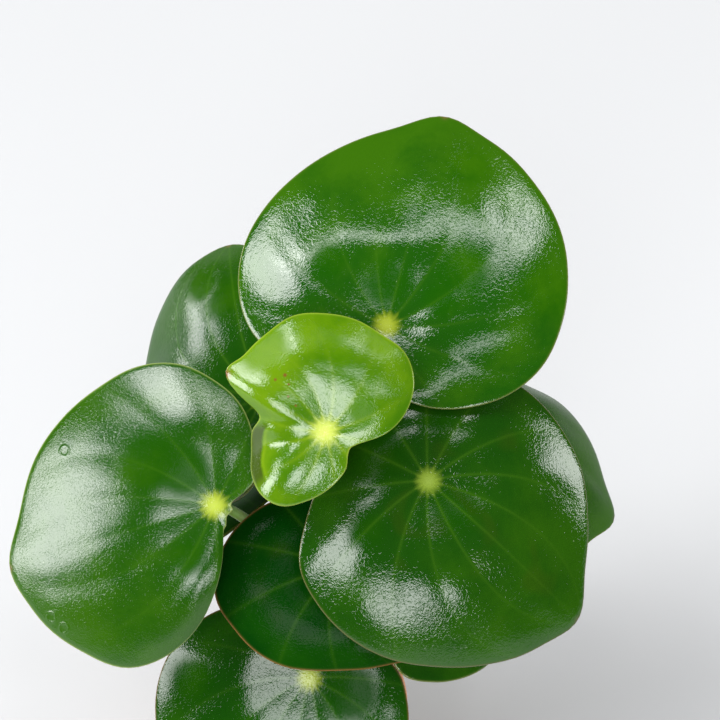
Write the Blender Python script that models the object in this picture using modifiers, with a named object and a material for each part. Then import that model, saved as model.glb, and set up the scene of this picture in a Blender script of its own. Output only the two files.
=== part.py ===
# Potted peperomia: an upright stem with thirteen shield-shaped leaves in a clay pot.
# Run with: blender --background --python part.py
# Metres, +Z up, the origin at the centre of the pot's underside, -Y towards the viewer.

import math

import bmesh
import bpy
from mathutils import Matrix, Vector

MM = 0.001
MERGE = 0.00001

# Fits, in mm
GAP = 0.3
STALK_TOP_GAP = 0.45

# Pot, in mm
RIM_RADIUS = 36.0
POT_HEIGHT = 66.0
RIM_BAND = 16.0
RIM_STEP = 2.4
RIM_DRAFT = 0.8
BASE_RADIUS = 23.0
WALL = 3.2
FLOOR = 5.0
DRAIN_RADIUS = 3.0
DRAIN_CIRCLE = 12.0
DRAIN_COUNT = 3
DRAIN_SIDES = 16
POT_ROUND = 1.0
POT_STEPS = 48

# Soil, in mm
SOIL_LEVEL = 55.0
SOIL_CROWN = 3.0
SOIL_RINGS = 5

# Stem, in mm: points from the foot in the soil to the growing tip, with the radius at each
STEM = (
    ((3, 4, 36), 4.6),
    ((4, 5, 58), 4.6),
    ((7, 8, 84), 4.4),
    ((11, 12, 108), 4.2),
    ((13, 15, 126), 3.6),
    ((13, 15, 134), 2.2),
    ((12, 15, 139), 0.8),
)
STEM_POINTS_PER_SPAN = 3
STEM_HOLE_PLAY = 0.8
STEM_HOLE_SIDES = 24

# Leaf blades and leaf stalks, in mm
BLADE_THICKNESS = 1.2
BLADE_SPOKES = 30
BLADE_RINGS = (0.16, 0.4, 0.66, 0.86, 1.0)
DIMPLE = 3.0
DIMPLE_RADIUS = 14.0
ROLL = 2.4
FULL_FALL_RIM = 30.0
TIP_WIDTH = 9.0
NOTCH_WIDTH = 22.0
STALK_TOP_RADIUS = 1.3
STALK_FOOT_RADIUS = 1.7
STALK_POINTS = 10
STALK_RISE = 45.0
STALK_HANDLE = 0.35

# Each leaf, in mm and degrees.
# seat: where the stalk meets the blade, on the upper face.
# lean: the way the blade faces, 0 towards the viewer and 90 towards +X; slope: its tilt from level.
# turn: the way the tip points, 0 straight downhill, positive towards the right of the seat.
# rim: the margin's distance from the seat at even steps, from the tip round by the right side.
# fall: how far the margin drops at the tip, right, base and left.
# wave: (angle, width, drop) of one more fold of the margin. node: height of its joint on the stem.
# stalk: how thick its stalk is against the others.
PLAIN_RIM = (50, 48, 44, 38, 32, 28, 20, 28, 32, 38, 44, 48)
LEAVES = {
    "top": dict(
        seat=(29, 27, 188), lean=0, slope=35, turn=165, node=122, drip=4, notch=4,
        rim=(58.5, 60, 57.5, 54.5, 50.5, 46.5, 42.5, 37, 31, 26, 22, 20.5,
             20, 20.5, 22, 25.5, 30.5, 36.5, 41, 44.5, 47, 49.5, 52.5, 56), fall=(8, 5, 2, 6)),
    "west": dict(
        seat=(-16, -10, 158), lean=-15, slope=46, turn=-63, node=112, drip=3, notch=0,
        rim=(57.5, 55, 52.5, 49, 45.5, 43, 39, 33, 27.5, 21.5, 16.5, 13,
             6, 4.5, 5, 4.5, 4.5, 6, 8.5, 21, 37, 49, 54, 58), fall=(8, 6, 2, 6)),
    "crown": dict(
        seat=(13, -6.9, 181.8), lean=0, slope=45, turn=-120, node=125, drip=3, notch=0,
        rim=(26.5, 28.5, 29.5, 31, 30.5, 30, 29, 29, 26.5, 22, 16.5, 10.5,
             8, 8.5, 11, 13, 15.5, 18.5, 22, 23, 22, 20, 19, 17.5), fall=(6, 6, 3, 6), wave=(-44, 22, 11)),
    "east": dict(
        seat=(40, -3, 160), lean=15, slope=48, turn=38, node=109, drip=4, notch=4,
        rim=(53, 54.5, 52, 49.5, 48, 46, 43.5, 40.5, 34, 29, 25, 26.5,
             27.5, 27, 26, 27, 29.5, 32.5, 36, 38.5, 41, 44, 46.5, 50), fall=(8, 6, 8, 10)),
    "north": dict(
        seat=(-5, 30, 159), lean=-60, slope=40, turn=-110, node=116, drip=3, notch=6,
        rim=(55, 48.5, 45, 43.5, 42, 39, 36, 34, 32, 30, 28, 25.5,
             24, 25.5, 28, 30.5, 34, 39, 44, 48.5, 52, 55, 59.5, 61.5), fall=(8, 6, 3, 12)),
    "southeast": dict(
        seat=(58, 36, 137), lean=60, slope=40, turn=24, node=97, drip=5, notch=6,
        rim=(47.5, 45.5, 42.5, 40, 38, 36, 34, 32, 30, 28, 26, 23.5,
             22, 22.5, 24, 25, 26, 27, 28, 30.5, 35, 41.5, 45.5, 47.5), fall=(8, 6, 3, 12)),
    "under": dict(
        seat=(17, -14, 139), lean=0, slope=38, turn=60, node=100, drip=3, notch=0,
        rim=(37, 33.5, 29.5, 28, 27.5, 28.5, 30.5, 32, 33, 34.5, 33.5, 31,
             28, 25, 22, 17, 13, 12, 14, 20.5, 28, 34, 38, 38.5), fall=(8, 6, 3, 6)),
    "south": dict(
        seat=(8, -22, 102), lean=-10, slope=50, turn=-5, node=78, drip=4, notch=0,
        rim=(46, 48.5, 50, 49, 46.5, 43.5, 39.5, 34.5, 29.5, 25.5, 22, 19.5,
             18, 17.5, 18, 18.5, 21.5, 25, 27.5, 30.5, 34, 38, 42, 44), fall=(8, 6, 3, 6)),
    "low": dict(
        seat=(48, 6, 116), lean=40, slope=33, turn=60, node=86, drip=3, notch=4,
        rim=(26, 24, 23, 23.5, 26.5, 29, 31, 33, 34.5, 31, 27.5, 23,
             18, 16, 16, 17.5, 20, 22, 24, 25.5, 27, 28, 29, 30), fall=(8, 5, 3, 6)),
    "back": dict(
        seat=(22, 58, 132), lean=172, slope=34, turn=0, node=101, drip=4, notch=6,
        rim=PLAIN_RIM, fall=(8, 6, 3, 6)),
    "northeast": dict(
        seat=(48, 54, 102), lean=128, slope=36, turn=0, node=82, drip=4, notch=6,
        rim=PLAIN_RIM, fall=(8, 6, 3, 6)),
    "northwest": dict(
        seat=(-17, 40, 110), lean=-132, slope=36, turn=0, node=88, drip=4, notch=0,
        rim=(50, 48, 44, 38, 32, 28, 25, 28, 32, 38, 44, 48), fall=(8, 6, 3, 6)),
    "young": dict(
        seat=(11, 21, 149), lean=175, slope=50, turn=0, node=129, drip=2, notch=1,
        rim=(12, 11, 9, 7, 6, 5, 4, 5, 6, 7, 9, 11), fall=(4, 3, 1, 3), stalk=0.6),
}

# Colours: base colour, roughness, metallic
CLAY = ((0.62, 0.27, 0.13), 0.85, 0.0)
EARTH = ((0.045, 0.028, 0.018), 0.95, 0.0)
STEM_GREEN = ((0.16, 0.2, 0.05), 0.5, 0.0)
STALK_GREEN = ((0.2, 0.32, 0.06), 0.45, 0.0)
LEAF_GREEN = ((0.025, 0.13, 0.006), 0.22, 0.0)
YOUNG_GREEN = ((0.1, 0.3, 0.008), 0.25, 0.0)
YOUNG_LEAVES = ("crown", "young")


def material(name, finish):
    """A Principled material of one colour."""
    color, roughness, metallic = finish
    made = bpy.data.materials.new(name)
    made.use_nodes = True
    shader = made.node_tree.nodes["Principled BSDF"]
    shader.inputs["Base Color"].default_value = (*color, 1.0)
    shader.inputs["Roughness"].default_value = roughness
    shader.inputs["Metallic"].default_value = metallic
    return made


def add_object(name, data, finish, collection):
    """Put mesh or curve data in the scene as one named, coloured object."""
    made = bpy.data.objects.new(name, data)
    data.materials.append(material(name + "_finish", finish))
    collection.objects.link(made)
    return made


def add_modifier(owner, kind, **settings):
    """Add a modifier and set its values."""
    made = owner.modifiers.new(kind.title(), kind)
    for key, value in settings.items():
        setattr(made, key, value)
    return made


def leaf_frame(leaf):
    """The blade's place: x to its right, y to its tip, z up from its face, the origin at the seat."""
    lean = math.radians(leaf["lean"])
    slope = math.radians(leaf["slope"])
    turn = math.radians(leaf["turn"])
    up = Vector((math.sin(slope) * math.sin(lean), -math.sin(slope) * math.cos(lean), math.cos(slope)))
    downhill = Vector((math.cos(slope) * math.sin(lean), -math.cos(slope) * math.cos(lean), -math.sin(slope)))
    tip = downhill * math.cos(turn) + up.cross(downhill) * math.sin(turn)
    axes = Matrix((tip.cross(up), tip, up)).transposed()
    return Matrix.Translation(Vector(leaf["seat"]) * MM) @ axes.to_4x4()


def bump(angle, centre, width):
    """A smooth bump of height 1 at centre, all in degrees round the seat."""
    off = (angle - centre + 180.0) % 360.0 - 180.0
    return math.exp(-(off / width) ** 2)


def smooth(before, here, after, beyond, part):
    """A smooth curve between here and after, read at part of the way."""
    bend = 2 * before - 5 * here + 4 * after - beyond + part * (3 * (here - after) + beyond - before)
    return here + 0.5 * part * (after - before + part * bend)


def rim_radius(leaf, angle):
    """The margin's distance from the seat: a smooth curve through the rim's radii."""
    rim = leaf["rim"]
    place = angle / 360.0 * len(rim)
    first = math.floor(place)
    radius = smooth(*(rim[(first + step) % len(rim)] for step in (-1, 0, 1, 2)), place - first)
    return radius + leaf["drip"] * bump(angle, 0, TIP_WIDTH) - leaf["notch"] * bump(angle, 180, NOTCH_WIDTH)


def rim_fall(leaf, angle):
    """How far the margin drops below the seat's plane."""
    tip, right, base, left = leaf["fall"]
    along = math.cos(math.radians(angle))
    across = math.sin(math.radians(angle))
    fall = (tip if along > 0 else base) * along ** 2 + (right if across > 0 else left) * across ** 2
    if "wave" in leaf:
        centre, width, drop = leaf["wave"]
        fall += drop * bump(angle, centre, width)
    return fall


def blade_point(leaf, share, angle):
    """A point of the upper face, at a share of the way from the seat to the margin."""
    rim = rim_radius(leaf, angle)
    radius = share * rim
    fall = rim_fall(leaf, angle) * min(1.0, rim / FULL_FALL_RIM)
    rise = DIMPLE * (1 - math.exp(-(radius / DIMPLE_RADIUS) ** 2)) - fall * share ** ROLL
    turned = math.radians(angle)
    return Vector((radius * math.sin(turned), radius * math.cos(turned), rise))


def make_blade(name, leaf, finish, collection):
    """The blade: a spoked disc moved to the leaf's form, split into triangles and thickened."""
    form = bmesh.new()
    spoke = [form.verts.new((0, share, 0)) for share in (0.0, *BLADE_RINGS)]
    edges = [form.edges.new(pair) for pair in zip(spoke, spoke[1:])]
    bmesh.ops.spin(form, geom=spoke + edges, cent=(0, 0, 0), axis=(0, 0, 1), angle=math.tau,
                   steps=BLADE_SPOKES, use_merge=True)
    bmesh.ops.remove_doubles(form, verts=form.verts, dist=MERGE)
    bmesh.ops.triangulate(form, faces=form.faces)
    for vert in form.verts:
        angle = math.degrees(math.atan2(vert.co.x, vert.co.y))
        vert.co = blade_point(leaf, vert.co.length, angle) * MM
    for face in form.faces:
        face.normal_update()
        if face.normal.z < 0:
            face.normal_flip()
    mesh = bpy.data.meshes.new(name)
    form.to_mesh(mesh)
    form.free()
    mesh.shade_smooth()
    blade = add_object(name, mesh, finish, collection)
    blade.matrix_world = leaf_frame(leaf)
    add_modifier(blade, "SOLIDIFY", thickness=BLADE_THICKNESS * MM, offset=-1.0)


def make_tube(name, points, radii, finish, collection):
    """A tapered tube with closed ends along a list of points, in mm."""
    curve = bpy.data.curves.new(name, "CURVE")
    curve.dimensions = "3D"
    curve.bevel_depth = MM
    curve.bevel_resolution = 2
    curve.use_fill_caps = True
    spline = curve.splines.new("POLY")
    spline.points.add(len(points) - 1)
    for spot, point, radius in zip(spline.points, points, radii):
        spot.co = (*(Vector(point) * MM), 1.0)
        spot.radius = radius
    spline.use_smooth = True
    add_object(name, curve, finish, collection)


def stem_line():
    """The stem's centre line and radius, from the foot to the growing tip."""
    line = []
    for place in range(len(STEM) - 1):
        ends = [STEM[min(max(place + step, 0), len(STEM) - 1)] for step in (-1, 0, 1, 2)]
        for point in range(STEM_POINTS_PER_SPAN):
            part = point / STEM_POINTS_PER_SPAN
            centre = smooth(*(Vector(end[0]) for end in ends), part)
            line.append((centre, smooth(*(end[1] for end in ends), part)))
    line.append((Vector(STEM[-1][0]), STEM[-1][1]))
    return line


def stem_joint(height):
    """The stem's centre, direction and radius at a height."""
    line = stem_line()
    for (low, low_radius), (high, high_radius) in zip(line, line[1:]):
        if low.z <= height <= high.z:
            part = (height - low.z) / (high.z - low.z)
            radius = low_radius + (high_radius - low_radius) * part
            return low.lerp(high, part), (high - low).normalized(), radius
    raise ValueError("no stem at this height")


def make_stalk(name, leaf, finish, collection):
    """The leaf stalk: it leaves the stem slanting upwards and meets the blade's underside squarely."""
    centre, along, stem_radius = stem_joint(leaf["node"])
    frame = leaf_frame(leaf)
    up = (frame.to_3x3() @ Vector((0, 0, 1))).normalized()
    top = Vector(leaf["seat"]) - up * (BLADE_THICKNESS + STALK_TOP_GAP)
    outward = top - centre
    outward = (outward - along * outward.dot(along)).normalized()
    rise = math.radians(STALK_RISE)
    thick = leaf.get("stalk", 1.0)
    start = (outward * math.cos(rise) + along * math.sin(rise)).normalized()
    foot = centre + outward * (stem_radius + GAP + thick * STALK_FOOT_RADIUS * math.sin(rise))
    reach = STALK_HANDLE * (top - foot).length
    handles = (foot, foot + start * reach, top - up * reach, top)
    points = []
    for step in range(STALK_POINTS):
        part = step / (STALK_POINTS - 1)
        weights = ((1 - part) ** 3, 3 * part * (1 - part) ** 2, 3 * part ** 2 * (1 - part), part ** 3)
        points.append(sum((handle * weight for handle, weight in zip(handles, weights)), Vector()))
    taper = (STALK_TOP_RADIUS - STALK_FOOT_RADIUS) / (STALK_POINTS - 1)
    radii = [thick * (STALK_FOOT_RADIUS + taper * step) for step in range(STALK_POINTS)]
    make_tube(name, points, radii, finish, collection)


def make_turned(name, profile, finish, collection):
    """A solid turned about the Z axis from a profile in mm, from its top inside to its base."""
    mesh = bpy.data.meshes.new(name)
    verts = [(radius * MM, 0.0, height * MM) for radius, height in profile]
    mesh.from_pydata(verts, [(place, place + 1) for place in range(len(verts) - 1)], [])
    turned = add_object(name, mesh, finish, collection)
    add_modifier(turned, "SCREW", steps=POT_STEPS, render_steps=POT_STEPS, use_merge_vertices=True,
                 merge_threshold=MERGE, use_smooth_shade=True)
    return turned


def inner_radius(height):
    """The pot's inner radius at a height: the body tapers, and the rim band flares a little."""
    band = POT_HEIGHT - RIM_BAND
    body = BASE_RADIUS - WALL + (RIM_RADIUS - RIM_STEP - BASE_RADIUS) * min(height, band) / band
    return body + RIM_STEP * max(height - band, 0) / (RIM_BAND - POT_ROUND)


def make_cutter(name, radius, start, end, sides, collection):
    """A round cutter between two points, in mm."""
    start = Vector(start) * MM
    end = Vector(end) * MM
    form = bmesh.new()
    bmesh.ops.create_cone(form, cap_ends=True, segments=sides, radius1=radius * MM, radius2=radius * MM,
                          depth=(end - start).length)
    mesh = bpy.data.meshes.new(name)
    form.to_mesh(mesh)
    form.free()
    cutter = bpy.data.objects.new(name, mesh)
    cutter.rotation_mode = "QUATERNION"
    cutter.rotation_quaternion = (end - start).to_track_quat("Z", "Y")
    cutter.location = (start + end) / 2
    cutter.hide_render = True
    cutter.display_type = "WIRE"
    collection.objects.link(cutter)
    return cutter


def make_pot(collection, cutters):
    """The clay pot: a tapered body under a thicker rim band, with drain holes round the middle."""
    band = POT_HEIGHT - RIM_BAND
    profile = (
        (0, FLOOR),
        (inner_radius(FLOOR), FLOOR),
        (inner_radius(band), band),
        (RIM_RADIUS - WALL, POT_HEIGHT - POT_ROUND),
        (RIM_RADIUS - WALL + POT_ROUND, POT_HEIGHT),
        (RIM_RADIUS - POT_ROUND, POT_HEIGHT),
        (RIM_RADIUS, POT_HEIGHT - POT_ROUND),
        (RIM_RADIUS - RIM_DRAFT, band),
        (RIM_RADIUS - RIM_STEP, band - POT_ROUND),
        (BASE_RADIUS + POT_ROUND / 2, POT_ROUND),
        (BASE_RADIUS - POT_ROUND, 0),
        (0, 0),
    )
    pot = make_turned("pot", profile, CLAY, collection)
    for count in range(DRAIN_COUNT):
        angle = math.tau * (count + 0.5) / DRAIN_COUNT
        x = DRAIN_CIRCLE * math.cos(angle)
        y = DRAIN_CIRCLE * math.sin(angle)
        hole = make_cutter(f"drain_cutter_{count}", DRAIN_RADIUS, (x, y, -FLOOR), (x, y, 2 * FLOOR),
                           DRAIN_SIDES, cutters)
        add_modifier(pot, "BOOLEAN", operation="DIFFERENCE", solver="EXACT", object=hole)


def make_soil(collection, cutters):
    """The soil: it fills the pot to a low mound, with a plain hole that the stem stands in."""
    low = FLOOR + GAP
    edge = inner_radius(SOIL_LEVEL) - GAP
    mound = [(edge * step / SOIL_RINGS, SOIL_LEVEL + SOIL_CROWN * (1 - (step / SOIL_RINGS) ** 2))
             for step in range(SOIL_RINGS + 1)]
    band = POT_HEIGHT - RIM_BAND
    profile = (*mound, (inner_radius(band) - GAP, band), (inner_radius(low) - GAP, low), (0, low))
    soil = make_turned("soil", profile, EARTH, collection)
    foot = Vector(STEM[0][0])
    above = Vector(STEM[1][0])
    along = (above - foot).normalized()
    hole = make_cutter("stem_hole_cutter", STEM[0][1] + STEM_HOLE_PLAY, foot - along * 2 * GAP,
                       above + along * SOIL_LEVEL, STEM_HOLE_SIDES, cutters)
    add_modifier(soil, "BOOLEAN", operation="DIFFERENCE", solver="EXACT", object=hole)


def main():
    for old in list(bpy.data.objects):
        bpy.data.objects.remove(old, do_unlink=True)
    parts = bpy.data.collections.new("potted_peperomia")
    cutters = bpy.data.collections.new("cutters")
    bpy.context.scene.collection.children.link(parts)
    bpy.context.scene.collection.children.link(cutters)
    make_pot(parts, cutters)
    make_soil(parts, cutters)
    centres, radii = zip(*stem_line())
    make_tube("stem", centres, radii, STEM_GREEN, parts)
    for name, leaf in LEAVES.items():
        make_blade(f"leaf_{name}_blade", leaf, YOUNG_GREEN if name in YOUNG_LEAVES else LEAF_GREEN, parts)
        make_stalk(f"leaf_{name}_stalk", leaf, STALK_GREEN, parts)


main()
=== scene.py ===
import math
import random

import bmesh
import bpy
from mathutils import Matrix, Vector, noise


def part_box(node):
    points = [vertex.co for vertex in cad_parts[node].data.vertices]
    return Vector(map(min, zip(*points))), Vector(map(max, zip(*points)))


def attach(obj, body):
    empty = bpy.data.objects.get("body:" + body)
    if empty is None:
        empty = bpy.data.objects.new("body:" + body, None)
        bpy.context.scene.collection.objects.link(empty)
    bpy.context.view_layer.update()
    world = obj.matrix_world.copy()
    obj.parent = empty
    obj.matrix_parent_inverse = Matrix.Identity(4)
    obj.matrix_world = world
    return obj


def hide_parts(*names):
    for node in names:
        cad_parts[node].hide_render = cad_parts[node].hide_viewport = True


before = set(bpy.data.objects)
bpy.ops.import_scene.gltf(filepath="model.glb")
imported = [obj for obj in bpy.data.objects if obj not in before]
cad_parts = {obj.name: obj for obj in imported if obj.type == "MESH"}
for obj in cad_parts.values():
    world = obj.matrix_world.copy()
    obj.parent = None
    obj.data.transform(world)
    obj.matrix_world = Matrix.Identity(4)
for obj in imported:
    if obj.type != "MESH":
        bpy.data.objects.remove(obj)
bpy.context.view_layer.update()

mm = 0.001
print("frame loaded")


# Shader graphs

class Wire:  # a socket that can be used in sums
    def __init__(self, graph, socket):
        self.graph = graph
        self.socket = socket

    def __add__(self, other):
        return self.graph.math("ADD", self, other)

    def __radd__(self, other):
        return self.graph.math("ADD", other, self)

    def __sub__(self, other):
        return self.graph.math("SUBTRACT", self, other)

    def __rsub__(self, other):
        return self.graph.math("SUBTRACT", other, self)

    def __mul__(self, other):
        return self.graph.math("MULTIPLY", self, other)

    def __rmul__(self, other):
        return self.graph.math("MULTIPLY", other, self)

    def __truediv__(self, other):
        return self.graph.math("DIVIDE", self, other)

    def __rtruediv__(self, other):
        return self.graph.math("DIVIDE", other, self)


class Graph:  # one material and the calls that add nodes to it
    def __init__(self, name):
        self.material = bpy.data.materials.new(name)
        self.material.use_nodes = True
        self.tree = self.material.node_tree
        self.tree.nodes.clear()

    def node(self, kind, settings=None, sockets=None):
        made = self.tree.nodes.new("ShaderNode" + kind)
        for key, value in (settings or {}).items():
            setattr(made, key, value)
        for key, value in (sockets or {}).items():
            if isinstance(value, Wire):
                self.tree.links.new(value.socket, made.inputs[key])
            else:
                made.inputs[key].default_value = value
        return made

    def out(self, made, key=0):
        return Wire(self, made.outputs[key])

    def math(self, how, *values):
        return self.out(self.node("Math", {"operation": how}, dict(enumerate(values))))

    def mix(self, part, first, second):  # colours only
        sockets = {0: part, 6: paint(first), 7: paint(second)}
        return self.out(self.node("Mix", {"data_type": "RGBA"}, sockets), 2)

    def rise(self, value, low, high):  # 0 below low, 1 above high, smooth between
        sockets = {"Value": value, "From Min": low, "From Max": high}
        return self.out(self.node("MapRange", {"interpolation_type": "SMOOTHSTEP"}, sockets))

    def hump(self, value, width):  # 1 where the value is 0, gone past the width
        share = value / width
        return self.math("EXPONENT", share * share * -1)

    def farFrom(self, x, y, spotX, spotY):
        acrossX = x - spotX
        acrossY = y - spotY
        return self.math("SQRT", acrossX * acrossX + acrossY * acrossY)

    def grains(self, where, size, detail=2.0, swirl=0.0):  # size in the units of where
        sockets = {"Vector": where, "Scale": 1 / size, "Detail": detail, "Distortion": swirl}
        return self.out(self.node("TexNoise", None, sockets))

    def cells(self, where, size):
        return self.node("TexVoronoi", None, {"Vector": where, "Scale": 1 / size})

    def attribute(self, name, key="Vector"):
        made = self.node("Attribute", {"attribute_name": name, "attribute_type": "GEOMETRY"})
        return self.out(made, key)

    def split(self, vector):
        made = self.node("SeparateXYZ", None, {0: vector})
        return [self.out(made, key) for key in range(3)]

    def place(self):
        return self.out(self.node("TexCoord"), "Object")

    def relief(self, height, depth):
        return self.out(self.node("Bump", None, {"Height": height, "Distance": depth, "Strength": 1.0}))

    def finish(self, matte=None, **sockets):  # the surface and its output, without gloss where matte is 1
        named = {key.replace("_", " "): value for key, value in sockets.items()}
        shader = self.out(self.node("BsdfPrincipled", None, named))
        if matte is not None:
            named["Specular IOR Level"] = 0.0
            plain = self.out(self.node("BsdfPrincipled", None, named))
            shader = self.out(self.node("MixShader", None, {0: matte, 1: shader, 2: plain}))
        self.node("OutputMaterial", None, {"Surface": shader})
        return self.material


def paint(value):
    return value if isinstance(value, Wire) else (*value, 1.0)


def addPiece(name, bm, material, slot, *nodes):  # a finished mesh at the origin that stands for CAD nodes
    mesh = bpy.data.meshes.new(name)
    bm.to_mesh(mesh)
    bm.free()
    mesh.shade_smooth()
    mesh.materials.append(material)
    piece = bpy.data.objects.new(name, mesh)
    bpy.context.scene.collection.objects.link(piece)
    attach(piece, "root")
    if nodes:
        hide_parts(*nodes)
    return piece


def smooth(before, here, after, beyond, part):  # a curve through four values, read between the middle two
    bend = 2 * before - 5 * here + 4 * after - beyond + part * (3 * (here - after) + beyond - before)
    return here + 0.5 * part * (after - before + part * bend)


# Leaves: lengths in mm, angles in degrees, places from the seat with x to the right and y to the tip

blade = {
    "thick": 1.15,
    "thin": 0.8,
    "spokes": 150,
    "faceRings": 36,
    "backRings": 12,
    "edgeSteps": 6,
    "dimple": 3.0,
    "dimpleRadius": 14.0,
    "roll": 2.4,
    "fullFall": 30.0,
    "tipWidth": 9.0,
    "notchWidth": 22.0,
    "rimCalm": 5.0,
    "middleCalm": 13.0,
    "roundedFrom": 0.9999,
}

# rim: radii at even angles, from the tip round by the right. fall: the droop at tip, right, base and left.
# dull, rings and specks: places on the face, with a size for each dull place and speck.
plainLeaf = {
    "drip": 4, "notch": 6, "turn": 0, "slope": 36, "fall": (8, 6, 3, 6),
    "rim": (50, 48, 44, 38, 32, 28, 20, 28, 32, 38, 44, 48),
    "slot": "blade", "stalk": 1.0, "seed": 1,
    "veins": 13, "curl": 0.5, "furrow": 0.06, "furrowWidth": 1.3, "puff": 0.1, "swell": 0.45, "swellSize": 15,
    "deep": (0.006, 0.043, 0.001), "fresh": (0.014, 0.066, 0.001), "veinColour": (0.035, 0.1, 0.005),
    "veinWidth": 0.35, "veinShow": 0.3, "veinReach": 22,
    "seatColour": (0.22, 0.27, 0.015), "seatSize": 3.2, "rays": 0.7,
    "margin": (0.13, 0.15, 0.03), "marginWidth": 0.4,
    "blush": 0.0, "tipColour": (0.1, 0.07, 0.02), "tipSize": 1.0,
    "grain": 0.75, "grainDepth": 0.05, "gloss": 0.05, "shine": 1.5,
}

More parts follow.
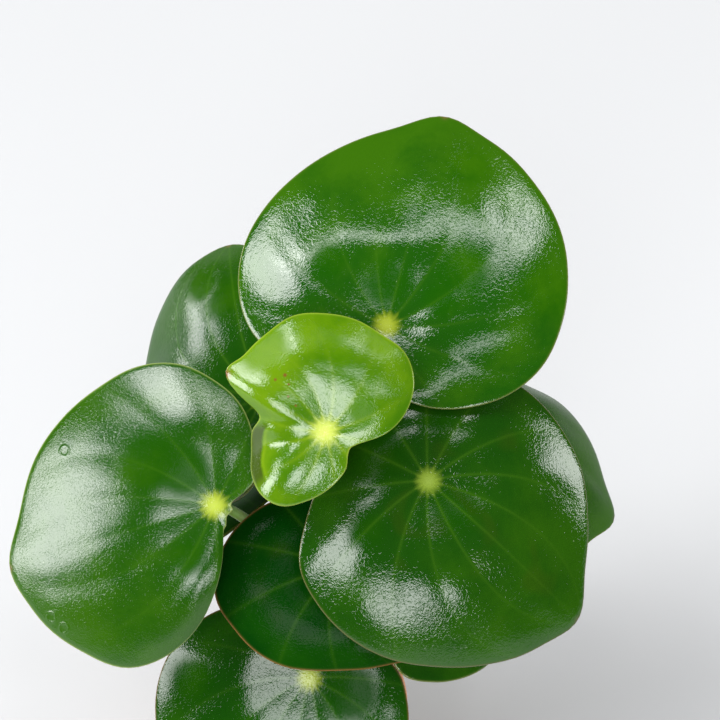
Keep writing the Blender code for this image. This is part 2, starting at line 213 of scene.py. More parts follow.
leaves = {
    "top": {
        "seat": (29, 27, 188), "lean": 0, "slope": 35, "turn": 165, "node": 122, "notch": 4,
        "rim": (58.5, 60, 57.5, 54.5, 50.5, 46.5, 42.5, 37, 31, 26, 22, 20.5,
                20, 20.5, 22, 25.5, 30.5, 36.5, 41, 44.5, 47, 49.5, 52.5, 56),
        "fall": (8, 5, 2, 6), "seed": 1,
        "deep": (0.006, 0.05, 0.001), "fresh": (0.021, 0.08, 0.001), "grain": 0.85, "grainDepth": 0.04,
        "dull": ((10, 49, 8), (38, 20, 9), (16, 19, 9), (-3, 11, 8), (12, 10, 6), (-19, 13, 6))},
    "west": {
        "seat": (-16, -10, 158), "lean": -15, "slope": 46, "turn": -63, "node": 112, "drip": 3, "notch": 0,
        "rim": (57.5, 55, 52.5, 49, 45.5, 43, 39, 33, 27.5, 21.5, 16.5, 13,
                6, 4.5, 5, 4.5, 4.5, 6, 8.5, 21, 37, 49, 54, 58),
        "fall": (8, 6, 2, 6), "seed": 2, "swell": 0.25, "puff": 0.08, "furrow": 0.07,
        "deep": (0.007, 0.046, 0.001), "fresh": (0.018, 0.067, 0.001), "grain": 0.55, "grainDepth": 0.04,
        "seatColour": (0.25, 0.31, 0.025), "seatSize": 3.4, "margin": (0.25, 0.31, 0.09), "gloss": 0.07,
        "dull": ((16, 13, 10), (11, 5, 9), (-11, 10, 6)),
        "rings": ((25.5, 36.0), (-15.7, 52.2), (-19.4, 49.6))},
    "crown": {
        "seat": (13, -6.9, 181.8), "lean": 0, "slope": 45, "turn": -120, "node": 125, "drip": 3, "notch": 0,
        "rim": (26.5, 28.5, 29.5, 31, 30.5, 30, 29, 29, 26.5, 22, 16.5, 10.5,
                8, 8.5, 11, 13, 15.5, 18.5, 22, 23, 22, 20, 19, 17.5),
        # strip: the width of the painted shade on the steep side of the fold
        "fall": (6, 6, 3, 6), "wave": (-44, 22, 11), "strip": 3.3,
        "seed": 3, "slot": "young_blade", "swellSize": 11, "grain": 0.7, "grainDepth": 0.04, "gloss": 0.05,
        "deep": (0.03, 0.1, 0.001), "fresh": (0.08, 0.165, 0.002), "veinColour": (0.16, 0.24, 0.008),
        "veinWidth": 0.4, "veinShow": 0.45, "veinReach": 9, "seatColour": (0.34, 0.4, 0.06), "seatSize": 3.6,
        "dull": ((11, 25, 9), (21, 13, 8), (28, -1, 7), (9, -6, 5), (19, 6, 4)),
        "margin": (0.22, 0.3, 0.03), "tipColour": (0.12, 0.03, 0.01), "tipSize": 1.3,
        "specks": ((7.4, 15.9, 0.8), (5.2, 17.4, 0.7), (5.8, 13.9, 0.6), (3.1, 12.4, 0.6), (2.0, 9.6, 0.6))},
    "east": {
        "seat": (40, -3, 160), "lean": 15, "slope": 48, "turn": 38, "node": 109, "notch": 4,
        "rim": (53, 54.5, 52, 49.5, 48, 46, 43.5, 40.5, 34, 29, 25, 26.5,
                27.5, 27, 26, 27, 29.5, 32.5, 36, 38.5, 41, 44, 46.5, 50),
        "fall": (8, 6, 8, 10), "seed": 4,
        "deep": (0.005, 0.038, 0.001), "fresh": (0.013, 0.058, 0.001), "veinColour": (0.04, 0.11, 0.005),
        "veinShow": 0.3, "veinReach": 30, "seatColour": (0.15, 0.22, 0.02), "blush": 0.12, "grain": 0.85,
        "dull": ((1, 10, 8), (4, -15, 10), (-15, -10, 7), (21, -4, 6)),
        "margin": (0.09, 0.08, 0.02), "tipColour": (0.06, 0.06, 0.02)},
    "north": {
        "seat": (-5, 30, 159), "lean": -60, "slope": 40, "turn": -110, "node": 116, "drip": 3,
        "rim": (55, 48.5, 45, 43.5, 42, 39, 36, 34, 32, 30, 28, 25.5,
                24, 25.5, 28, 30.5, 34, 39, 44, 48.5, 52, 55, 59.5, 61.5),
        "fall": (8, 6, 3, 12), "seed": 5,
        "deep": (0.005, 0.04, 0.001), "fresh": (0.014, 0.058, 0.001), "shine": 1.4,
        "veinShow": 0.4, "veinReach": 60, "dull": ((-10, 47, 7), (-3, 37, 9))},
    "southeast": {
        "seat": (58, 36, 137), "lean": 60, "slope": 40, "turn": 24, "node": 97, "drip": 5,
        "rim": (47.5, 45.5, 42.5, 40, 38, 36, 34, 32, 30, 28, 26, 23.5,
                22, 22.5, 24, 25, 26, 27, 28, 30.5, 35, 41.5, 45.5, 47.5),
        "fall": (8, 6, 3, 12), "seed": 6, "shine": 1.2, "gloss": 0.15, "tipColour": (0.05, 0.06, 0.03),
        "deep": (0.007, 0.045, 0.001), "fresh": (0.02, 0.075, 0.001)},
    "under": {
        "seat": (17, -14, 139), "lean": 0, "slope": 38, "turn": 60, "node": 100, "drip": 3, "notch": 0,
        "rim": (37, 33.5, 29.5, 28, 27.5, 28.5, 30.5, 32, 33, 34.5, 33.5, 31,
                28, 25, 22, 17, 13, 12, 14, 20.5, 28, 34, 38, 38.5),
        # painted shade: this leaf's deep and fresh colours are darkened to stand for the shade beneath the
        # leaves above it
        "seed": 7, "deep": (0.001, 0.022, 0.001), "fresh": (0.004, 0.036, 0.001), "blush": 0.1, "shine": 1.1,
        "seatColour": (0.08, 0.12, 0.01), "margin": (0.2, 0.09, 0.03)},
    "south": {
        "seat": (8, -22, 102), "lean": -10, "slope": 50, "turn": -5, "node": 78, "notch": 0,
        "rim": (46, 48.5, 50, 49, 46.5, 43.5, 39.5, 34.5, 29.5, 25.5, 22, 19.5,
                18, 17.5, 18, 18.5, 21.5, 25, 27.5, 30.5, 34, 38, 42, 44),
        "seed": 8, "deep": (0.004, 0.037, 0.001), "fresh": (0.01, 0.054, 0.001), "margin": (0.17, 0.09, 0.03),
        "shine": 1.4, "dull": ((-12, 1, 10), (32, 8, 8))},
    "low": {
        "seat": (48, 6, 116), "lean": 40, "slope": 33, "turn": 60, "node": 86, "drip": 3, "notch": 4,
        "rim": (26, 24, 23, 23.5, 26.5, 29, 31, 33, 34.5, 31, 27.5, 23,
                18, 16, 16, 17.5, 20, 22, 24, 25.5, 27, 28, 29, 30),
        "fall": (8, 5, 3, 6), "seed": 9},
    "back": {"seat": (22, 58, 132), "lean": 172, "slope": 34, "node": 101, "seed": 10},
    "northeast": {"seat": (48, 54, 102), "lean": 128, "node": 82, "seed": 11},
    "northwest": {
        "seat": (-17, 40, 110), "lean": -132, "node": 88, "notch": 0, "seed": 12, "dull": ((-7, -15, 20),),
        "rim": (50, 48, 44, 38, 32, 28, 25, 28, 32, 38, 44, 48)},
    "young": {
        "seat": (11, 21, 149), "lean": 175, "slope": 50, "node": 129, "drip": 2, "notch": 1,
        "rim": (12, 11, 9, 7, 6, 5, 4, 5, 6, 7, 9, 11), "fall": (4, 3, 1, 3), "stalk": 0.6, "seed": 13,
        "slot": "young_blade", "furrow": 0.08, "puff": 0.08, "swell": 0.15, "swellSize": 6,
        "deep": (0.06, 0.18, 0.002), "fresh": (0.13, 0.27, 0.005), "veinColour": (0.26, 0.4, 0.02),
        "seatColour": (0.45, 0.52, 0.1), "seatSize": 1.1, "rays": 1.0, "tipSize": 0.6},
}
leaves = {name: {**plainLeaf, **leaf} for name, leaf in leaves.items()}


def leafPlace(leaf):  # x to the blade's right, y to its tip, z up from its face
    lean, slope, turn = (math.radians(leaf[key]) for key in ("lean", "slope", "turn"))
    up = Vector((math.sin(slope) * math.sin(lean), -math.sin(slope) * math.cos(lean), math.cos(slope)))
    downhill = Vector((math.cos(slope) * math.sin(lean), -math.cos(slope) * math.cos(lean), -math.sin(slope)))
    tip = downhill * math.cos(turn) + up.cross(downhill) * math.sin(turn)
    axes = Matrix((tip.cross(up), tip, up)).transposed()
    return Matrix.Translation(Vector(leaf["seat"])) @ axes.to_4x4()


def bump(angle, centre, width):
    off = (angle - centre + 180) % 360 - 180
    return math.exp(-(off / width) ** 2)


def rimRadius(leaf, angle):
    rim = leaf["rim"]
    place = angle / 360 * len(rim)
    first = math.floor(place)
    radius = smooth(*(rim[(first + step) % len(rim)] for step in (-1, 0, 1, 2)), place - first)
    notch = leaf["notch"] * bump(angle, 180, blade["notchWidth"])
    return radius + leaf["drip"] * bump(angle, 0, blade["tipWidth"]) - notch


def rimFall(leaf, angle):
    tip, right, base, left = leaf["fall"]
    along = math.cos(math.radians(angle))
    across = math.sin(math.radians(angle))
    fall = (tip if along > 0 else base) * along ** 2 + (right if across > 0 else left) * across ** 2
    if "wave" in leaf:
        centre, width, drop = leaf["wave"]
        fall += drop * bump(angle, centre, width)
    return fall


def bladeSpot(leaf, radius, angle):  # a point of the upper face, that far from the seat
    rim = rimRadius(leaf, angle)
    fall = rimFall(leaf, angle) * min(1, rim / blade["fullFall"])
    rise = blade["dimple"] * (1 - math.exp(-(radius / blade["dimpleRadius"]) ** 2))
    rise -= fall * (radius / rim) ** blade["roll"]
    turned = math.radians(angle)
    return Vector((radius * math.sin(turned), radius * math.cos(turned), rise))


def bladeNormal(leaf, radius, angle):
    around = bladeSpot(leaf, radius, angle + 0.5) - bladeSpot(leaf, radius, angle - 0.5)
    outward = bladeSpot(leaf, radius + 0.1, angle) - bladeSpot(leaf, radius - 0.1, angle)
    return around.cross(outward).normalized()


def bladeRelief(leaf, x, y, edge):  # furrows on the veins, cushions between them and a slow swell
    reach = leaf["rim"][0] + leaf["drip"]
    near = max(math.hypot(x, y), 0.5)
    far = max(math.hypot(x, reach - y), 0.5)
    lead = math.atan2(x, y) + leaf["curl"] * math.atan2(x, reach - y)
    spacing = math.tau / leaf["veins"]
    off = abs(lead / spacing - round(lead / spacing))
    away = off * spacing / (1 / near + leaf["curl"] / far)
    ripe = 1 - math.exp(-(near / blade["middleCalm"]) ** 2)
    calm = 1 - math.exp(-(edge / blade["rimCalm"]) ** 2)
    furrow = -leaf["furrow"] * math.exp(-(away / leaf["furrowWidth"]) ** 2)
    cushion = leaf["puff"] * math.sin(math.pi * min(2 * off, 1) / 2)
    swell = leaf["swell"] * noise.noise(Vector((x, y, 31 * leaf["seed"])) / leaf["swellSize"])
    return (furrow + cushion) * ripe * calm + swell * calm


def bladeMesh(leaf):
    bm = bmesh.new()
    rings, back, steps = blade["faceRings"], blade["backRings"], blade["edgeSteps"]
    section = [(ring / rings, 0.0) for ring in range(rings + 1)]
    section += [(1.0, (math.cos(math.pi * step / steps) - 1) / 2) for step in range(1, steps)]
    section += [(1 - ring / back, -1.0) for ring in range(back + 1)]
    spots = [bm.verts.new((share, 0, depth)) for share, depth in section]
    lines = [bm.edges.new(pair) for pair in zip(spots, spots[1:])]
    bmesh.ops.spin(bm, geom=spots + lines, cent=(0, 0, 0), axis=(0, 0, 1), angle=math.tau,
                   steps=blade["spokes"], use_merge=True)
    bmesh.ops.remove_doubles(bm, verts=bm.verts, dist=1e-5)
    spotLayer = bm.verts.layers.float_vector.new("leafSpot")
    sideLayer = bm.verts.layers.float.new("underside")
    for vert in bm.verts:
        share = min(math.hypot(vert.co.x, vert.co.y), 1.0)
        depth = -vert.co.z
        angle = math.degrees(math.atan2(vert.co.x, vert.co.y))
        rim = rimRadius(leaf, angle)
        thick = blade["thick"] + (blade["thin"] - blade["thick"]) * share ** 3
        inset = thick / 2
        if share > blade["roundedFrom"]:  # the margin is rounded
            inset *= 1 - math.sqrt(max(0, 1 - (2 * depth - 1) ** 2))
        radius = max(share * (rim - inset), 0.0)
        spot = bladeSpot(leaf, radius, angle)
        normal = bladeNormal(leaf, radius, angle) if radius > 0.2 else Vector((0, 0, 1))
        edge = rim - radius
        lift = bladeRelief(leaf, spot.x, spot.y, edge)
        vert[spotLayer] = (spot.x, spot.y, edge)
        vert[sideLayer] = depth
        vert.co = spot + normal * (lift - depth * thick)
    bmesh.ops.recalc_face_normals(bm, faces=bm.faces)
    bmesh.ops.transform(bm, matrix=Matrix.Scale(mm, 4) @ leafPlace(leaf), verts=bm.verts)
    return bm


bladeLook = {  # what all the blades share
    "toneSize": 17,
    "fineSize": 2.6,
    "blushSize": 12,
    "blushColour": (0.04, 0.04, 0.002),
    # painted shade for the steep side of the crown's fold
    "stripColour": (0.03, 0.05, 0.006),
    "speckColour": (0.12, 0.04, 0.01),
    "ringRadius": 1.6,
    "ringWidth": 0.35,
    "dustSize": 7,
    "dustColour": (0.2, 0.26, 0.14),
    "backColour": (0.07, 0.15, 0.035),
    "backVein": (0.14, 0.21, 0.06),
    "backRough": 0.3,
    "dullShow": 0.92,
}


def bladeSkin(name, leaf):
    g = Graph("leaf " + name)
    spot = g.attribute("leafSpot")
    x, y, edge = g.split(spot)
    under = g.attribute("underside", "Fac")
    body = g.place()
    reach = leaf["rim"][0] + leaf["drip"]
    near = g.math("MAXIMUM", g.math("SQRT", x * x + y * y), 0.3)
    beyond = reach - y
    far = g.math("MAXIMUM", g.math("SQRT", x * x + beyond * beyond), 0.3)
    lead = g.math("ARCTAN2", x, y) + g.math("ARCTAN2", x, beyond) * leaf["curl"]
    turn = lead * (leaf["veins"] / math.tau)
    off = g.math("ABSOLUTE", turn - g.math("ROUND", turn))
    away = off * (math.tau / leaf["veins"]) / (1 / near + leaf["curl"] / far)
    line = g.hump(away, leaf["veinWidth"])
    haze = g.hump(away, leaf["veinWidth"] * 4)
    fade = g.math("EXPONENT", near * (-1 / leaf["veinReach"]))

    slow = g.grains(spot, bladeLook["toneSize"], 1.0)
    fine = g.grains(spot, bladeLook["fineSize"], 3.0)
    ripe = g.rise(slow * 0.8 + fine * 0.25 + y * (0.3 / reach) + edge * -0.006, 0.3, 0.85)
    colour = g.mix(ripe, leaf["deep"], leaf["fresh"])
    colour = g.mix(haze * fade * (0.3 * leaf["veinShow"]), colour, leaf["veinColour"])
    colour = g.mix(line * g.math("MINIMUM", fade * 1.3, 1.0) * leaf["veinShow"], colour, leaf["veinColour"])
    if leaf["blush"]:
        flush = g.rise(g.grains(spot, bladeLook["blushSize"], 1.0), 0.5, 0.72) * g.rise(edge, 6, 16)
        colour = g.mix(flush * leaf["blush"], colour, bladeLook["blushColour"])
    if "strip" in leaf:  # painted shade and highlight: the steep side of the fold is painted dark, with a painted highlight as a pale crest beside it
        paintedFoldArea = g.hump(g.math("ARCTAN2", x, y) + math.radians(-leaf["wave"][0] + 2), 0.42)
        # painted highlight: a pale line beside the painted shade of the fold
        paintedCrestHighlight = g.hump(edge - leaf["strip"] - 1.2 + fine, 0.5)
        colour = g.mix(paintedCrestHighlight * paintedFoldArea * 0.35, colour, leaf["veinColour"])
        # painted shade: the band next to the rim on the fold's steep side is painted dark
        dark = 1 - g.rise(edge + fine * 0.8, leaf["strip"], leaf["strip"] + 0.9)
        colour = g.mix(dark * g.rise(paintedFoldArea, 0.25, 0.6) * 0.9, colour, bladeLook["stripColour"])
    starEdge = leaf["seatSize"] + haze * (leaf["rays"] * 0.4) + line * (leaf["rays"] * 0.6)
    ragged = near + fine * (leaf["seatSize"] * 0.7) - leaf["seatSize"] * 0.35
    star = 1 - g.rise(ragged / starEdge, 0.3, 1.3)
    colour = g.mix(star * 0.9, colour, leaf["seatColour"])
    pale = tuple(min(1, value * 1.2 + 0.03) for value in leaf["seatColour"])
    colour = g.mix(g.hump(near, leaf["seatSize"] * 0.5) * 0.5, colour, pale)
    colour = g.mix(g.hump(edge, leaf["marginWidth"]) * 0.85, colour, leaf["margin"])
    colour = g.mix(g.hump(far, leaf["tipSize"]), colour, leaf["tipColour"])

    pebbles = g.grains(body, leaf["grain"] * mm, 1.0, 1.2)
    creases = g.math("ABSOLUTE", g.grains(body, leaf["grain"] * 1.7 * mm, 2.0, 0.8) - 0.5)
    height = pebbles + creases * 0.5 + g.grains(body, leaf["grain"] * 0.4 * mm, 1.0) * 0.2
    for speckX, speckY, size in leaf.get("specks", ()):
        mark = 1 - g.rise(g.farFrom(x, y, speckX, speckY) + fine * 0.5, size * 0.6, size * 1.2)
        colour = g.mix(mark * 0.8, colour, bladeLook["speckColour"])
    for ringX, ringY in leaf.get("rings", ()):
        off = g.farFrom(x, y, ringX, ringY) - bladeLook["ringRadius"]
        height = height + g.hump(off + fine * 0.5, bladeLook["ringWidth"]) * 1.5
    dust = g.cells(spot, bladeLook["dustSize"])
    chosen = g.rise(g.split(g.out(dust, "Color"))[0], 0.75, 0.76)
    dot = (1 - g.rise(g.out(dust, "Distance"), 0.02, 0.04)) * chosen
    colour = g.mix(dot * 0.5, colour, bladeLook["dustColour"])
    back = g.rise(under, 0.5, 0.9)
    colour = g.mix(back, colour, g.mix(line * 0.6, bladeLook["backColour"], bladeLook["backVein"]))
    rough = leaf["gloss"] + fine * 0.06 + back * bladeLook["backRough"]
    matte = None
    for dullX, dullY, size in leaf.get("dull", ()):  # round places kept free of gloss, to suit the main view
        here = 1 - g.rise(g.farFrom(x, y, dullX, dullY) + fine * 2, size * 0.6, size * 1.3)
        matte = here if matte is None else g.math("MAXIMUM", matte, here)
    if matte is not None:
        matte = matte * bladeLook["dullShow"]
    return g.finish(matte, Base_Color=colour, Roughness=rough, IOR=leaf["shine"],
                    Normal=g.relief(height, leaf["grainDepth"] * mm))


for name, leaf in leaves.items():
    node = "leaf_" + name + "_blade"
    addPiece(name + "Blade", bladeMesh(leaf), bladeSkin(name, leaf), leaf["slot"], node)
print("blades")


# Tubes: a ring drawn out along a row of places, each a centre and a radius

def drawTube(places, sides):
    bm = bmesh.new()
    layer = bm.verts.layers.float.new("along")  # the length from the start
    bmesh.ops.create_circle(bm, cap_ends=False, segments=sides, radius=1)
    centres = [Vector(place[0]) for place in places]
    ways = [(after - before).normalized() for before, after in zip(centres, centres[1:])]
    ways.append(ways[-1])
    turned = ways[0].to_track_quat("Z", "Y")
    radius = places[0][1]
    stand = Matrix.LocRotScale(centres[0], turned, Vector((radius, radius, radius)))
    bmesh.ops.transform(bm, matrix=stand, verts=bm.verts)
    ring = bm.edges[:]
    first = ring
    run = 0.0
    for place in range(len(places)):
        if place:
            turned = ways[place - 1].rotation_difference(ways[place]) @ turned
            radius = places[place][1]
            after = Matrix.LocRotScale(centres[place], turned, Vector((radius, radius, radius)))
            grown = bmesh.ops.extrude_edge_only(bm, edges=ring)["geom"]
            fresh = [item for item in grown if isinstance(item, bmesh.types.BMVert)]
            bmesh.ops.transform(bm, matrix=after @ stand.inverted(), verts=fresh)
            ring = [item for item in grown if isinstance(item, bmesh.types.BMEdge)
                    and all(vert in fresh for vert in item.verts)]
            stand = after
            run += (centres[place] - centres[place - 1]).length
        for edge in ring:
            for vert in edge.verts:
                vert[layer] = run
    bmesh.ops.holes_fill(bm, edges=first, sides=0)
    bmesh.ops.holes_fill(bm, edges=ring, sides=0)
    bmesh.ops.recalc_face_normals(bm, faces=bm.faces)
    bmesh.ops.transform(bm, matrix=Matrix.Scale(mm, 4), verts=bm.verts)
    return bm


stem = {
    "line": (
        ((3, 4, 36), 4.6), ((4, 5, 58), 4.6), ((7, 8, 84), 4.4), ((11, 12, 108), 4.2),
        ((13, 15, 126), 3.6), ((13, 15, 134), 2.2), ((12, 15, 139), 0.8)),
    "steps": 18,
    "sides": 40,
    "knuckle": 0.5,
    "knuckleWidth": 2.2,
    "tip": ((0.35, 0.8), (0.6, 0.35)),  # how far above the end, and the share of its radius
    "green": (0.16, 0.26, 0.05),
    "brown": (0.2, 0.15, 0.07),
    "streakColour": (0.34, 0.3, 0.16),
}


def stemLine(steps):
    line = stem["line"]
    spots = []
    for place in range(len(line) - 1):
        ends = [line[min(max(place + step, 0), len(line) - 1)] for step in (-1, 0, 1, 2)]
        for step in range(steps):
            centre = smooth(*(Vector(end[0]) for end in ends), step / steps)
            spots.append((centre, smooth(*(end[1] for end in ends), step / steps)))
    spots.append((Vector(line[-1][0]), line[-1][1]))
    return spots


def stemJoint(height):
    spots = stemLine(3)
    for (low, lowRadius), (high, highRadius) in zip(spots, spots[1:]):
        if low.z <= height <= high.z:
            part = (height - low.z) / (high.z - low.z)
            radius = lowRadius + (highRadius - lowRadius) * part
            return low.lerp(high, part), (high - low).normalized(), radius
    raise ValueError("no stem at this height")


def stemSkin():
    g = Graph("stem")
    body = g.place()
    run = g.attribute("along", "Fac")
    streak = g.grains(body, 1.2 * mm, 3.0)
    blotch = g.grains(body, 7 * mm, 2.0)
    old = g.rise(blotch * 0.5 + 0.75 - run * 0.008, 0.45, 0.8)
    colour = g.mix(old, stem["green"], stem["brown"])
    colour = g.mix(g.rise(streak, 0.55, 0.75) * 0.5, colour, stem["streakColour"])
    return g.finish(Base_Color=colour, Roughness=0.42 + streak * 0.2,
                    Normal=g.relief(streak + blotch * 1.5, 0.1 * mm))


def makeStem():
    joints = sorted(leaf["node"] for leaf in leaves.values())
    thickest = stem["line"][0][1]
    places = []
    for centre, radius in stemLine(stem["steps"]):
        swell = sum(math.exp(-((centre.z - joint) / stem["knuckleWidth"]) ** 2) for joint in joints)
        places.append((centre, radius + stem["knuckle"] * min(swell, 1) * radius / thickest))
    tip, radius = places[-1]
    places += [(tip + Vector((0, 0, above)), radius * share) for above, share in stem["tip"]]
    addPiece("plantStem", drawTube(places, stem["sides"]), stemSkin(), "stem", "stem")


stalk = {
    "foot": 1.7,
    "top": 1.3,
    "points": 44,
    "sides": 24,
    "rise": 45,
    "handle": 0.35,
    "fit": 0.3,
    "topFit": 0.45,
    "sheath": 0.55,
    "sheathLength": 3.5,
    "collar": 0.8,
    "collarLength": 1.6,
    "footBack": 1.6,
    "bladeThick": 1.2,
    "endRise": 1.0,
    "endFlare": 1.3,
    "green": (0.16, 0.3, 0.05),
    "pale": (0.26, 0.38, 0.09),
    "streakColour": (0.24, 0.13, 0.05),
    "footColour": (0.2, 0.2, 0.07),
}


def stalkSkin():
    g = Graph("stalk")
    body = g.place()
    run = g.attribute("along", "Fac")
    streak = g.grains(body, 0.9 * mm, 2.0)
    blotch = g.grains(body, 9 * mm, 1.0)
    colour = g.mix(g.rise(blotch, 0.35, 0.7), stalk["green"], stalk["pale"])
    colour = g.mix(g.rise(streak, 0.58, 0.72) * 0.45, colour, stalk["streakColour"])
    colour = g.mix(1 - g.rise(run, 1.0, 5.0), colour, stalk["footColour"])
    return g.finish(Base_Color=colour, Roughness=0.34 + streak * 0.16, Normal=g.relief(streak, 0.05 * mm))


def makeStalk(name, leaf, skin):
    centre, along, stemRadius = stemJoint(leaf["node"])
    up = leafPlace(leaf).to_3x3() @ Vector((0, 0, 1))
    top = Vector(leaf["seat"]) - up * (stalk["bladeThick"] + stalk["topFit"])
    outward = top - centre
    outward = (outward - along * outward.dot(along)).normalized()
    rise = math.radians(stalk["rise"])
    thick = leaf["stalk"]
    start = outward * math.cos(rise) + along * math.sin(rise)
    foot = centre + outward * (stemRadius + stalk["fit"] + thick * stalk["foot"] * math.sin(rise))
    hold = stalk["handle"] * (top - foot).length
    ends = (foot, foot + start * hold, top - up * hold, top)
    places = [(foot - start * stalk["footBack"], thick * (stalk["foot"] + stalk["sheath"]))]
    length = (top - foot).length
    for step in range(stalk["points"]):
        part = step / (stalk["points"] - 1)
        weights = ((1 - part) ** 3, 3 * part * (1 - part) ** 2, 3 * part ** 2 * (1 - part), part ** 3)
        spot = sum((end * weight for end, weight in zip(ends, weights)), Vector())
        radius = stalk["foot"] + (stalk["top"] - stalk["foot"]) * part
        radius += stalk["sheath"] * math.exp(-(part * length / stalk["sheathLength"]) ** 2)
        radius += stalk["collar"] * math.exp(-((1 - part) * length / stalk["collarLength"]) ** 2)
        places.append((spot, thick * radius))
    places.append((top + up * stalk["endRise"], thick * (stalk["top"] + stalk["collar"] * stalk["endFlare"])))
    addPiece(name + "Stalk", drawTube(places, stalk["sides"]), skin, "stalk", "leaf_" + name + "_stalk")


makeStem()
stalkGreen = stalkSkin()
for name, leaf in leaves.items():
    makeStalk(name, leaf, stalkGreen)
print("stem and stalks")


# Pot and soil

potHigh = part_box("pot")[1]
pot = {
    "rim": potHigh.x / mm,
    "high": potHigh.z / mm,
    "band": 16.0,
    "step": 2.4,
    "draft": 0.8,
    "base": 23.0,
    "wall": 3.2,
    "floor": 5.0,
    "drain": 3.0,
    "drainCircle": 12.0,
    "drains": 3,
    "drainSides": 48,
    "round": 1.0,
    "lipRound": 1.5,
    "crease": 0.5,
    "boreSteps": (14, 26, 38),
    "wallSteps": (0.75, 0.5, 0.25),
    "steps": 144,
    "darkClay": (0.6, 0.255, 0.12),
    "lightClay": (0.7, 0.34, 0.18),
    "fineClay": (0.8, 0.5, 0.33),
    "speckColour": (0.35, 0.14, 0.07),
    "bloomColour": (0.82, 0.72, 0.62),
    "bloomHeight": 46,
}


def turn(profile, steps):  # a solid turned from a profile in mm
    bm = bmesh.new()
    spots = [bm.verts.new((radius * mm, 0, height * mm)) for radius, height in profile]
    lines = [bm.edges.new(pair) for pair in zip(spots, spots[1:])]
    bmesh.ops.spin(bm, geom=spots + lines, cent=(0, 0, 0), axis=(0, 0, 1), angle=math.tau, steps=steps,
                   use_merge=True)
    bmesh.ops.remove_doubles(bm, verts=bm.verts, dist=1e-6)
    bmesh.ops.recalc_face_normals(bm, faces=bm.faces)
    return bm


def arc(centreRadius, centreHeight, radius, start, end, steps=6):
    spots = []
    for step in range(steps + 1):
        angle = math.radians(start + (end - start) * step / steps)
        spots.append((centreRadius + radius * math.cos(angle), centreHeight + radius * math.sin(angle)))
    return spots


def potBore(height):  # the pot's inner radius at a height
    band = pot["high"] - pot["band"]
    body = pot["base"] - pot["wall"] + (pot["rim"] - pot["step"] - pot["base"]) * min(height, band) / band
    return body + pot["step"] * max(height - band, 0) / (pot["band"] - pot["round"])


def clay():
    g = Graph("terracotta")
    body = g.place()
    height = g.split(body)[2]
    blotch = g.grains(body, 16 * mm, 4.0)
    fine = g.grains(body, 1.3 * mm, 4.0)
    speck = g.grains(body, 0.5 * mm, 1.0)
    lines = g.math("SINE", height * (math.tau / (1.1 * mm)) + blotch * 6)
    colour = g.mix(g.rise(blotch, 0.35, 0.7), pot["darkClay"], pot["lightClay"])
    colour = g.mix(g.rise(fine, 0.58, 0.75) * 0.5, colour, pot["fineClay"])
    colour = g.mix(g.rise(speck, 0.7, 0.8) * 0.35, colour, pot["speckColour"])
    belt = g.hump(height - pot["bloomHeight"] * mm, 14 * mm)
    bloom = g.rise(g.grains(body, 9 * mm, 5.0) + belt * 0.14, 0.62, 0.82)
    colour = g.mix(bloom * 0.5, colour, pot["bloomColour"])
    relief = g.relief(fine * 0.7 + speck * 0.3 + lines * 0.12, 0.18 * mm)
    return g.finish(Base_Color=colour, Roughness=0.78 + fine * 0.2, Normal=relief)


def makePot():
    rim, high, base, bend, lip = (pot[key] for key in ("rim", "high", "base", "round", "lipRound"))
    band = high - pot["band"]
    wall = rim - pot["step"]
    corner = 2 * bend
    profile = [(0, pot["floor"]), (potBore(pot["floor"]) - corner, pot["floor"])]
    profile += arc(potBore(pot["floor"]) - corner, pot["floor"] + corner, corner, -90, -10)
    profile += [(potBore(height), height) for height in (*pot["boreSteps"], band)]
    profile += arc(rim - pot["wall"] + lip, high - lip, lip, 180, 90)
    profile += arc(rim - lip, high - lip, lip, 90, 0)
    profile += arc(rim - pot["draft"] - bend, band + bend, bend, 0, -90)
    profile += arc(wall + 0.2, band - 0.8, pot["crease"], 90, 180, 4)
    profile += [(base + (wall - base) * part - 0.1, band * part) for part in pot["wallSteps"]]
    profile += arc(base - bend, bend, bend, 0, -90)
    profile += [(0, 0)]
    body = addPiece("clayPot", turn(profile, pot["steps"]), clay(), "clay", "pot")
    for drain in range(pot["drains"]):
        angle = math.tau * (drain + 0.5) / pot["drains"]
        bm = bmesh.new()
        middle = Vector((math.cos(angle), math.sin(angle), 0)) * pot["drainCircle"] * mm
        bmesh.ops.create_cone(bm, cap_ends=True, segments=pot["drainSides"], radius1=pot["drain"] * mm,
                              radius2=pot["drain"] * mm, depth=4 * pot["floor"] * mm,
                              matrix=Matrix.Translation(middle))
        mesh = bpy.data.meshes.new("drain")
        bm.to_mesh(mesh)
        bm.free()
        cutter = bpy.data.objects.new("drain", mesh)
        bpy.context.scene.collection.objects.link(cutter)
        cut = body.modifiers.new("drain", "BOOLEAN")
        cut.operation = "DIFFERENCE"
        cut.solver = "EXACT"
        cut.object = cutter
        applyTo(body, cut)
        bpy.data.objects.remove(cutter)


def applyTo(piece, modifier):  # the modifier's result becomes the mesh
    graph = bpy.context.evaluated_depsgraph_get()
    made = bpy.data.meshes.new_from_object(piece.evaluated_get(graph))
    piece.modifiers.remove(modifier)
    piece.data = made


makePot()
print("pot")

soil = {
    "level": 55.0,
    "crown": 3.0,
    "rings": 30,
    "steps": 120,
    "lumps": 0.7,
    "hole": 5.4,
    "stemAt": (3.7, 4.7),
    "fit": 0.3,
    "bitsInset": 2.2,
    "grain": 2.0,
    "dark": (0.018, 0.012, 0.008),
    "light": (0.07, 0.045, 0.028),
}

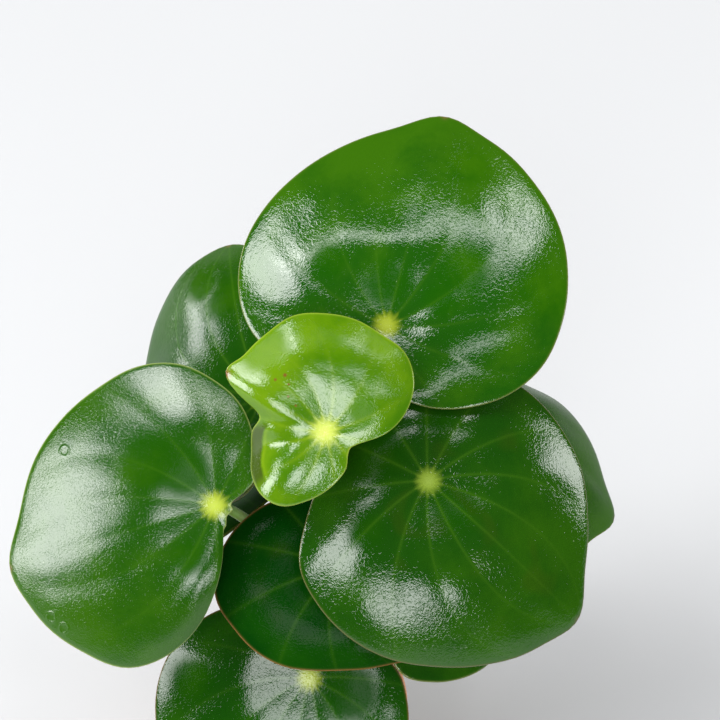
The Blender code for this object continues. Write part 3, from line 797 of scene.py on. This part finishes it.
bits = {  # loose pieces on the soil, with sizes in mm
    "crumbs": {"count": 620, "sizes": (0.8, 2.4), "flat": 0.8, "seed": 3, "grain": 1.0,
               "dark": (0.02, 0.013, 0.009), "light": (0.1, 0.065, 0.04)},
    "grit": {"count": 70, "sizes": (0.8, 1.9), "flat": 0.85, "seed": 4, "grain": 0.8,
             "dark": (0.5, 0.48, 0.44), "light": (0.8, 0.78, 0.72)},
    "bark": {"count": 60, "sizes": (1.8, 3.6), "flat": 0.35, "seed": 5, "grain": 1.4,
             "dark": (0.07, 0.035, 0.018), "light": (0.2, 0.11, 0.055)},
}


def earth(name, look):
    g = Graph(name)
    body = g.place()
    tone = g.attribute("tone", "Fac")
    fine = g.grains(body, look["grain"] * mm, 4.0)
    colour = g.mix(g.rise(fine * 0.6 + tone * 0.5, 0.25, 0.85), look["dark"], look["light"])
    return g.finish(Base_Color=colour, Roughness=0.82 + fine * 0.16, Normal=g.relief(fine, 0.25 * mm))


def soilTop(x, y):  # the soil's height in mm, with its lumps
    edge = potBore(soil["level"]) - soil["fit"]
    share = min(math.hypot(x, y) / edge, 1)
    lumps = noise.noise(Vector((x, y, 5)) / 3.2) + 0.6 * noise.noise(Vector((x, y, 9)) / 1.3)
    return soil["level"] + soil["crown"] * (1 - share ** 2) + soil["lumps"] * lumps * (1 - share ** 8)


def makeSoil():
    low = pot["floor"] + soil["fit"]
    band = pot["high"] - pot["band"]
    edge = potBore(soil["level"]) - soil["fit"]
    profile = [(edge * ring / soil["rings"], soil["level"]) for ring in range(soil["rings"] + 1)]
    profile += [(potBore(height) - soil["fit"], height) for height in (band, low)]
    profile += [(0, low)]
    bm = turn(profile, soil["steps"])
    toneLayer = bm.verts.layers.float.new("tone")
    for vert in bm.verts:
        vert[toneLayer] = 0.3
        if abs(vert.co.z - soil["level"] * mm) < 0.01 * mm:
            vert.co.z = soilTop(vert.co.x / mm, vert.co.y / mm) * mm
    addPiece("pottingSoil", bm, earth("soil", soil), "soil", "soil")


def scatter(name, look):  # small loose bits pressed into the soil
    material = earth(name, look)
    dice = random.Random(look["seed"])
    bm = bmesh.new()
    toneLayer = bm.verts.layers.float.new("tone")
    edge = potBore(soil["level"]) - soil["bitsInset"]
    stemAt = Vector(soil["stemAt"])
    flat = look["flat"]
    for bit in range(look["count"]):
        size = dice.uniform(*look["sizes"])
        while True:
            reach = edge * math.sqrt(dice.random())
            angle = dice.uniform(0, math.tau)
            spot = Vector((reach * math.cos(angle), reach * math.sin(angle)))
            if (spot - stemAt).length > soil["hole"] + size:
                break
        made = bmesh.ops.create_icosphere(bm, subdivisions=1, radius=size / 2 * mm)["verts"]
        tone = dice.random()
        for vert in made:
            vert[toneLayer] = tone
            vert.co *= dice.uniform(0.75, 1.2)
        spin = Matrix.Rotation(dice.uniform(0, math.tau), 4, "Z")
        tip = Matrix.Rotation(dice.uniform(-0.5, 0.5), 4, "X")
        squash = Matrix.Diagonal((dice.uniform(0.8, 1.5), dice.uniform(0.7, 1.1), flat, 1))
        height = soilTop(spot.x, spot.y) + size * flat * 0.15
        move = Matrix.Translation(Vector((spot.x, spot.y, height)) * mm)
        bmesh.ops.transform(bm, matrix=move @ spin @ tip @ squash, verts=made)
    addPiece(name, bm, material, "soil")


makeSoil()
for name, look in bits.items():
    scatter(name, look)
print("soil")


# Studio

studio = {
    "floor": (0.425, 0.43, 0.437),
    "floorSize": 9.0,
    "floorRough": 0.9,
    "sky": (0.9, 0.905, 0.92),
    "fill": 0.65,
    "dim": 0.04,
    "aim": (0.02, 0.0, 0.13),
    "far": 4.0,
}

lamps = {  # where each one stands, its width and height in degrees, and how bright its face is
    "highWindow": {"azimuth": -75, "elevation": 60, "wide": 23, "tall": 22, "glow": 14.0},
    "lowWindow": {"azimuth": -66, "elevation": 22, "wide": 24, "tall": 26, "glow": 14.0},
    "strip": {"azimuth": 0, "elevation": 83, "wide": 50, "tall": 6, "glow": 9.0},
    "front": {"azimuth": -8, "elevation": 33, "wide": 20, "tall": 19, "glow": 11.0},
    "lowFront": {"azimuth": 17, "elevation": 15, "wide": 15, "tall": 10, "glow": 10.0},
    "side": {"azimuth": 90, "elevation": 18, "wide": 19, "tall": 20, "glow": 10.0},
    "highSide": {"azimuth": 92, "elevation": 67, "wide": 9, "tall": 7, "glow": 12.0},
    "streak": {"azimuth": 20, "elevation": 55, "wide": 26, "tall": 5, "glow": 6.0},
    "leftBack": {"azimuth": -122, "elevation": 10, "wide": 15, "tall": 13, "glow": 10.0},
    "backdrop": {"azimuth": 180, "elevation": 16, "wide": 80, "tall": 26, "glow": 0.5},
}


def makeFloor():
    g = Graph("floor")
    material = g.finish(Base_Color=paint(studio["floor"]), Roughness=studio["floorRough"])
    bm = bmesh.new()
    bmesh.ops.create_circle(bm, cap_ends=True, segments=64, radius=studio["floorSize"])
    mesh = bpy.data.meshes.new("floor")
    bm.to_mesh(mesh)
    bm.free()
    mesh.materials.append(material)
    floor = bpy.data.objects.new("floor", mesh)
    bpy.context.scene.collection.objects.link(floor)


def makeLamp(name, lamp):
    azimuth = math.radians(lamp["azimuth"])
    elevation = math.radians(lamp["elevation"])
    level = math.cos(elevation)
    way = Vector((level * math.sin(azimuth), -level * math.cos(azimuth), math.sin(elevation)))
    light = bpy.data.lights.new(name, "AREA")
    light.shape = "RECTANGLE"
    light.size = 2 * studio["far"] * math.tan(math.radians(lamp["wide"] / 2))
    light.size_y = 2 * studio["far"] * math.tan(math.radians(lamp["tall"] / 2))
    light.energy = lamp["glow"] * math.pi * light.size * light.size_y
    made = bpy.data.objects.new(name, light)
    made.location = Vector(studio["aim"]) + way * studio["far"]
    made.rotation_mode = "QUATERNION"
    made.rotation_quaternion = way.to_track_quat("Z", "Y")
    bpy.context.scene.collection.objects.link(made)


def makeSky():  # pale behind the object, softer on it, dim in its gloss
    world = bpy.data.worlds.new("studio")
    world.use_nodes = True
    tree = world.node_tree
    tree.nodes.clear()
    ray = tree.nodes.new("ShaderNodeLightPath")
    output = tree.nodes.new("ShaderNodeOutputWorld")
    looks = {"fill": studio["fill"], "Is Camera Ray": 1.0, "Is Glossy Ray": studio["dim"]}
    shown = None
    for key, strength in looks.items():
        glow = tree.nodes.new("ShaderNodeBackground")
        glow.inputs["Color"].default_value = paint(studio["sky"])
        glow.inputs["Strength"].default_value = strength
        if shown is None:
            shown = glow.outputs[0]
            continue
        pick = tree.nodes.new("ShaderNodeMixShader")
        tree.links.new(ray.outputs[key], pick.inputs[0])
        tree.links.new(shown, pick.inputs[1])
        tree.links.new(glow.outputs[0], pick.inputs[2])
        shown = pick.outputs[0]
    tree.links.new(shown, output.inputs["Surface"])
    bpy.context.scene.world = world


camera = {
    "place": (22, -372, 535),
    "elevation": 42,
    "lens": 100,
    "sensor": 36,
    "clip": (0.01, 20),
}


def makeCamera():
    data = bpy.data.cameras.new("camera")
    data.lens = camera["lens"]
    data.sensor_width = camera["sensor"]
    data.clip_start, data.clip_end = camera["clip"]
    made = bpy.data.objects.new("camera", data)
    made.location = Vector(camera["place"]) * mm
    made.rotation_euler = (math.radians(90 - camera["elevation"]), 0, 0)
    bpy.context.scene.collection.objects.link(made)
    bpy.context.scene.camera = made


makeFloor()
for name, lamp in lamps.items():
    makeLamp(name, lamp)
makeSky()
makeCamera()
bpy.context.scene.view_settings.view_transform = "Standard"
print("studio")
